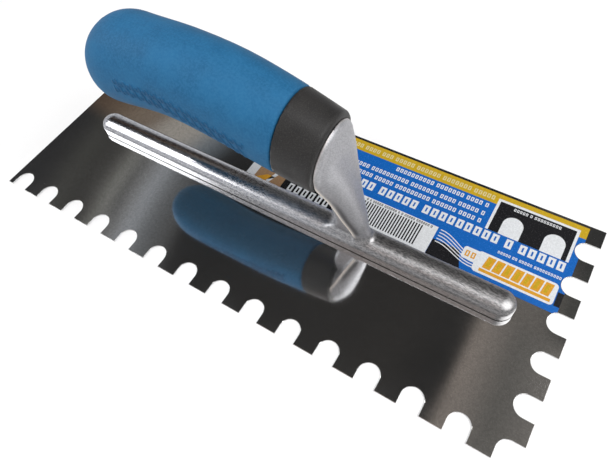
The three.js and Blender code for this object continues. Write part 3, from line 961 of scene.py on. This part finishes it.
def badge():
    """White bar with amber blocks, a dark ground to the left and a fan of thin lines."""
    items = [("ink_black", 1, [(73.7, 9.0), (90, 9.0), (86.5, 17.8), (73.7, 17.8)]),
             ("ink_black", 1, rectangle(130.4, LABEL_HIGH[0], 11.5, 18.5)),
             ("ink_white", 3, rounded(88.0, 99, 15.0, 21.4, 1.2)),
             ("ink_white", 4, rounded(94.4, 130.0, 11.0, 22.0, 1.8)),
             ("ink_amber", 5, rectangle(97.5, 128.6, 12.1, 13.7))]
    items += print_line("ink_amber", "ink_white", 4, 18.0, 3.2, 88.3, 94.0, (2,))
    blocks, pitch, width = 7, 4.25, 3.6
    for k in range(blocks):
        x = 98.3 + k * pitch
        items.append(("ink_amber", 5, slanted(x, x + width, 14.3, 20.9, 0.9)))
        items.append(("ink_yellow", 6, slanted(x + 1.1, x + width - 1.1, 15.5, 19.7, 0.6)))
    lines, thickness = 5, 0.5
    xs = np.linspace(75, 94.5, 10)
    fall = smooth_step(76, 93, xs)
    for k in range(lines):
        ys = (23.6 - 1.7 * k) * (1 - fall) + (17.4 - 1.35 * k) * fall
        line = [*zip(xs, ys), *zip(xs[::-1], ys[::-1] + thickness)]
        items.append(("ink_white", 2, line))
    return items


def left_end(x0, y0):
    """White margin, small picture in plain patches and the item number as boxes."""
    items = [("ink_white", 1, rectangle(x0, x0 + 5, y0, 55)),
             ("ink_brown", 1, rectangle(x0 + 5, x0 + 21, y0, 24)),
             ("ink_amber", 2, slanted(x0 + 6, x0 + 11, y0 + 1, y0 + 5, 5)),
             ("ink_white", 2, slanted(x0 + 12, x0 + 14, y0 + 1, y0 + 9, 3)),
             ("ink_black", 1, rectangle(x0 + 21, 29, y0, 16))]
    return items + print_line("ink_white", "ink_black", 2, y0 + 3.6, 4.8, x0 + 22, 21.5, (6,))


def build_label(inks):
    """One mesh: the film and, over it, each printed shape as a flat face with its ink."""
    low, high = LABEL_LOW[2], LABEL_HIGH[2]
    film = plate_mesh("label_film", [label_outline()], low, high, LABEL_EDGE_ROUND)
    points = [np.array(v.co) / MM for v in film.vertices]
    faces = [list(p.vertices) for p in film.polygons]
    ink_of_face = [0] * len(faces)
    for ink, layer, outline in label_print():
        z = high + layer * PRINT_LIFT
        start = len(points)
        points += [np.array((x, y, z)) for x, y in outline]
        faces.append(list(range(start, start + len(outline))))
        ink_of_face.append(INK_ORDER.index(ink))
    mesh = bpy.data.meshes.new("printed_label")
    mesh.from_pydata([tuple(p * MM) for p in points], [], faces)
    bpy.data.meshes.remove(film)
    new_piece("printed_label", mesh, inks, "label")
    mesh.polygons.foreach_set("material_index", ink_of_face)


# ---------------------------------------------------------------- stage, light and camera

CAMERA_PLACE = Vector((103.05, -106.02, 206.24))
CAMERA_AIM = Vector((19.88, -6.04, 0))
CAMERA_ROLL = math.radians(-9.544)
CAMERA_LENS = 29.829
CAMERA_SENSOR = 36                 # width


def add_camera():
    """Looks from CAMERA_PLACE to CAMERA_AIM, turned by CAMERA_ROLL about that line."""
    forward = (CAMERA_AIM - CAMERA_PLACE).normalized()
    level = forward.cross(UP).normalized()
    rise = level.cross(forward)
    right = math.cos(CAMERA_ROLL) * level + math.sin(CAMERA_ROLL) * rise
    top = right.cross(forward)
    data = bpy.data.cameras.new("camera")
    data.lens = CAMERA_LENS
    data.sensor_width = CAMERA_SENSOR
    data.clip_start = 0.01
    camera = bpy.data.objects.new("camera", data)
    turn = Matrix((right, top, -forward)).transposed().to_4x4()
    camera.matrix_world = Matrix.Translation(CAMERA_PLACE * MM) @ turn
    bpy.context.scene.collection.objects.link(camera)
    bpy.context.scene.camera = camera


def add_light(name, place, aim, size, power):
    data = bpy.data.lights.new(name, "AREA")
    data.shape = "RECTANGLE"
    data.size, data.size_y = size[0] * MM, size[1] * MM
    data.energy = power
    light = bpy.data.objects.new(name, data)
    light.location = Vector(place) * MM
    direction = Vector(aim) - Vector(place)
    light.rotation_euler = direction.to_track_quat("-Z", "Y").to_euler()
    bpy.context.scene.collection.objects.link(light)


def add_floor():
    half, drop = 6000, 0.05
    corners = [(x, y, -drop) for x, y in rectangle(-half, half, -half, half)]
    mesh = mesh_from("floor", corners, [(0, 1, 2, 3)])
    floor = bpy.data.objects.new("floor", mesh)
    bpy.context.scene.collection.objects.link(floor)
    material, tree, shader = new_material("floor_paint", Roughness=0.9, Specular_IOR_Level=0.1)
    clouds = noise(tree, 400, detail=2)
    tone = blend_colours(tree, clouds, (0.93, 0.93, 0.93), (0.95, 0.95, 0.95))
    link(tree, tone, shader, "Base Color")
    mesh.materials.append(material)


def colour_ramp(tree, source, stops):
    """Tones blended along source; stops are (place, tone) with places rising."""
    low, high = stops[0][0], stops[-1][0]
    ramp = tree.nodes.new("ShaderNodeValToRGB")
    elements = ramp.color_ramp.elements
    for k, (place, tone) in enumerate(stops):
        at = (place - low) / (high - low)
        element = elements[k] if k < 2 else elements.new(at)
        element.position = at
        element.color = (*tone, 1)
    tree.links.new(spread(tree, source, low, high, 0, 1, "LINEAR"), ramp.inputs["Fac"])
    return ramp.outputs["Color"]


def window(tree, source, rise, fall):
    """One between rise[1] and fall[0], nothing outside rise[0] and fall[1]."""
    return arithmetic(tree, "MULTIPLY", spread(tree, source, *rise, 0, 1),
                      spread(tree, source, *fall, 1, 0))


# What the blade mirrors. A direction is given by its x over z and its y over z, and the tones
# below follow the first of them: light streaks on the left, the wall's edge on the right, and
# what stands beyond them, which shows behind the spine.
STREAKS = [(-0.80, (0.006, 0.006, 0.008)), (-0.775, (0.012, 0.012, 0.012)),
           (-0.747, (0.055, 0.055, 0.048)), (-0.73, (0.03, 0.03, 0.026)),
           (-0.70, (0.028, 0.026, 0.024)), (-0.685, (0.08, 0.078, 0.07)),
           (-0.667, (0.27, 0.27, 0.25)), (-0.650, (0.055, 0.055, 0.055)),
           (-0.632, (0.21, 0.21, 0.21)), (-0.607, (0.35, 0.37, 0.40)),
           (-0.588, (0.17, 0.18, 0.19)), (-0.565, (0.10, 0.105, 0.11)),
           (-0.535, (0.07, 0.07, 0.07)), (-0.515, (0.0, 0.0, 0.0))]
RIGHT_SIDE = [(-0.55, (0.008, 0.008, 0.008)), (-0.12, (0.016, 0.014, 0.012)),
              (-0.028, (0.005, 0.005, 0.005)), (-0.014, (0.28, 0.24, 0.21)),
              (0.012, (0.21, 0.185, 0.165)), (0.05, (0.11, 0.105, 0.095)),
              (0.12, (0.19, 0.175, 0.16))]
FAR_SIDE = [(-0.88, (0.07, 0.04, 0.025)), (-0.83, (0.13, 0.09, 0.06)),
            (-0.79, (0.21, 0.165, 0.125)), (-0.765, (0.16, 0.12, 0.09)),
            (-0.74, (0.36, 0.335, 0.30)), (-0.69, (0.37, 0.345, 0.31)),
            (-0.65, (0.16, 0.19, 0.22)), (-0.60, (0.012, 0.012, 0.012)),
            (-0.03, (0.012, 0.012, 0.012)), (0.02, (0.16, 0.145, 0.13)),
            (0.07, (0.14, 0.128, 0.115)), (0.105, (0.055, 0.055, 0.05))]
STUDIO = [(-0.95, (0.75, 0.76, 0.78)), (-0.55, (0.46, 0.46, 0.47)),
          (0.0, (0.40, 0.39, 0.39)), (0.6, (0.45, 0.45, 0.45))]
FADED_WALL = (0.01, 0.01, 0.01)
WARM_PANEL = (1.05, 0.86, 0.78)
STREAK_SLANT = 0.135
LEAST_HEIGHT = 0.05                # keeps the two ratios finite near the horizon


def add_world():
    """Pale studio with a warm panel in front and, for the blade to mirror, a dark wall behind."""
    world = bpy.data.worlds.new("studio")
    world.use_nodes = True
    tree = world.node_tree
    place = tree.nodes.new("ShaderNodeTexCoord")
    x, y, z = coordinates(tree, place.outputs["Generated"])
    z = arithmetic(tree, "MAXIMUM", z, LEAST_HEIGHT)
    across = arithmetic(tree, "DIVIDE", x, z)
    along = arithmetic(tree, "DIVIDE", y, z)
    wall = arithmetic(tree, "MULTIPLY", window(tree, across, (-1.9, -1.4), (0.25, 0.4)),
                      window(tree, along, (0.0, 0.08), (5.0, 9.0)))
    shift = arithmetic(tree, "MULTIPLY", along, STREAK_SLANT)
    streaks = colour_ramp(tree, arithmetic(tree, "ADD", across, shift), STREAKS)
    near_tone = blend_colours(tree, 1.0, streaks, colour_ramp(tree, across, RIGHT_SIDE), "ADD")
    far_tone = blend_colours(tree, spread(tree, along, 0.62, 0.95, 0, 0.7),
                             colour_ramp(tree, across, FAR_SIDE), FADED_WALL)
    mirrored = blend_colours(tree, spread(tree, along, 0.44, 0.53, 0, 1), near_tone, far_tone)
    warm = arithmetic(tree, "MULTIPLY", window(tree, across, (-0.42, -0.32), (0.0, 0.12)),
                      window(tree, along, (-0.75, -0.6), (-0.42, -0.32)))
    studio = blend_colours(tree, warm, colour_ramp(tree, across, STUDIO), WARM_PANEL)
    tone = blend_colours(tree, wall, studio, mirrored)
    tree.links.new(tone, tree.nodes["Background"].inputs["Color"])
    bpy.context.scene.world = world


def add_studio():
    add_floor()
    add_world()
    add_light("overhead_tube", (-400, -60, 1000), (-400, -60, 0), (1500, 40), 2.4)
    add_light("left_key", (-1000, -480, 960), (-60, 0, 10), (600, 600), 4.3)
    add_light("high_fill", (850, 150, 1150), (30, 0, 20), (1050, 1050), 14.5)


# ---------------------------------------------------------------- assembly

def dress_cad_nodes():
    """The rivets and the handle's fixings keep their CAD shape and get their steel."""
    rivet_steel = turned_steel("rivet_steel", (0.50, 0.50, 0.50))
    fixing_steel = turned_steel("fixing_steel", (0.42, 0.41, 0.39))
    for name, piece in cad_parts.items():
        if name.startswith("rivet"):
            piece.data.materials[0] = rivet_steel
        elif name in ("tie_rod", "butt_washer", "butt_nut"):
            piece.data.materials[0] = fixing_steel


build_blade(polished_steel())
build_casting(cast_aluminium())
build_handle(blue_rubber(), black_plastic(), plug_plastic())
build_label([print_ink(name, tone) for name, tone in INKS.items()])
dress_cad_nodes()
add_studio()
add_camera()
bpy.context.scene.view_settings.view_transform = "Standard"
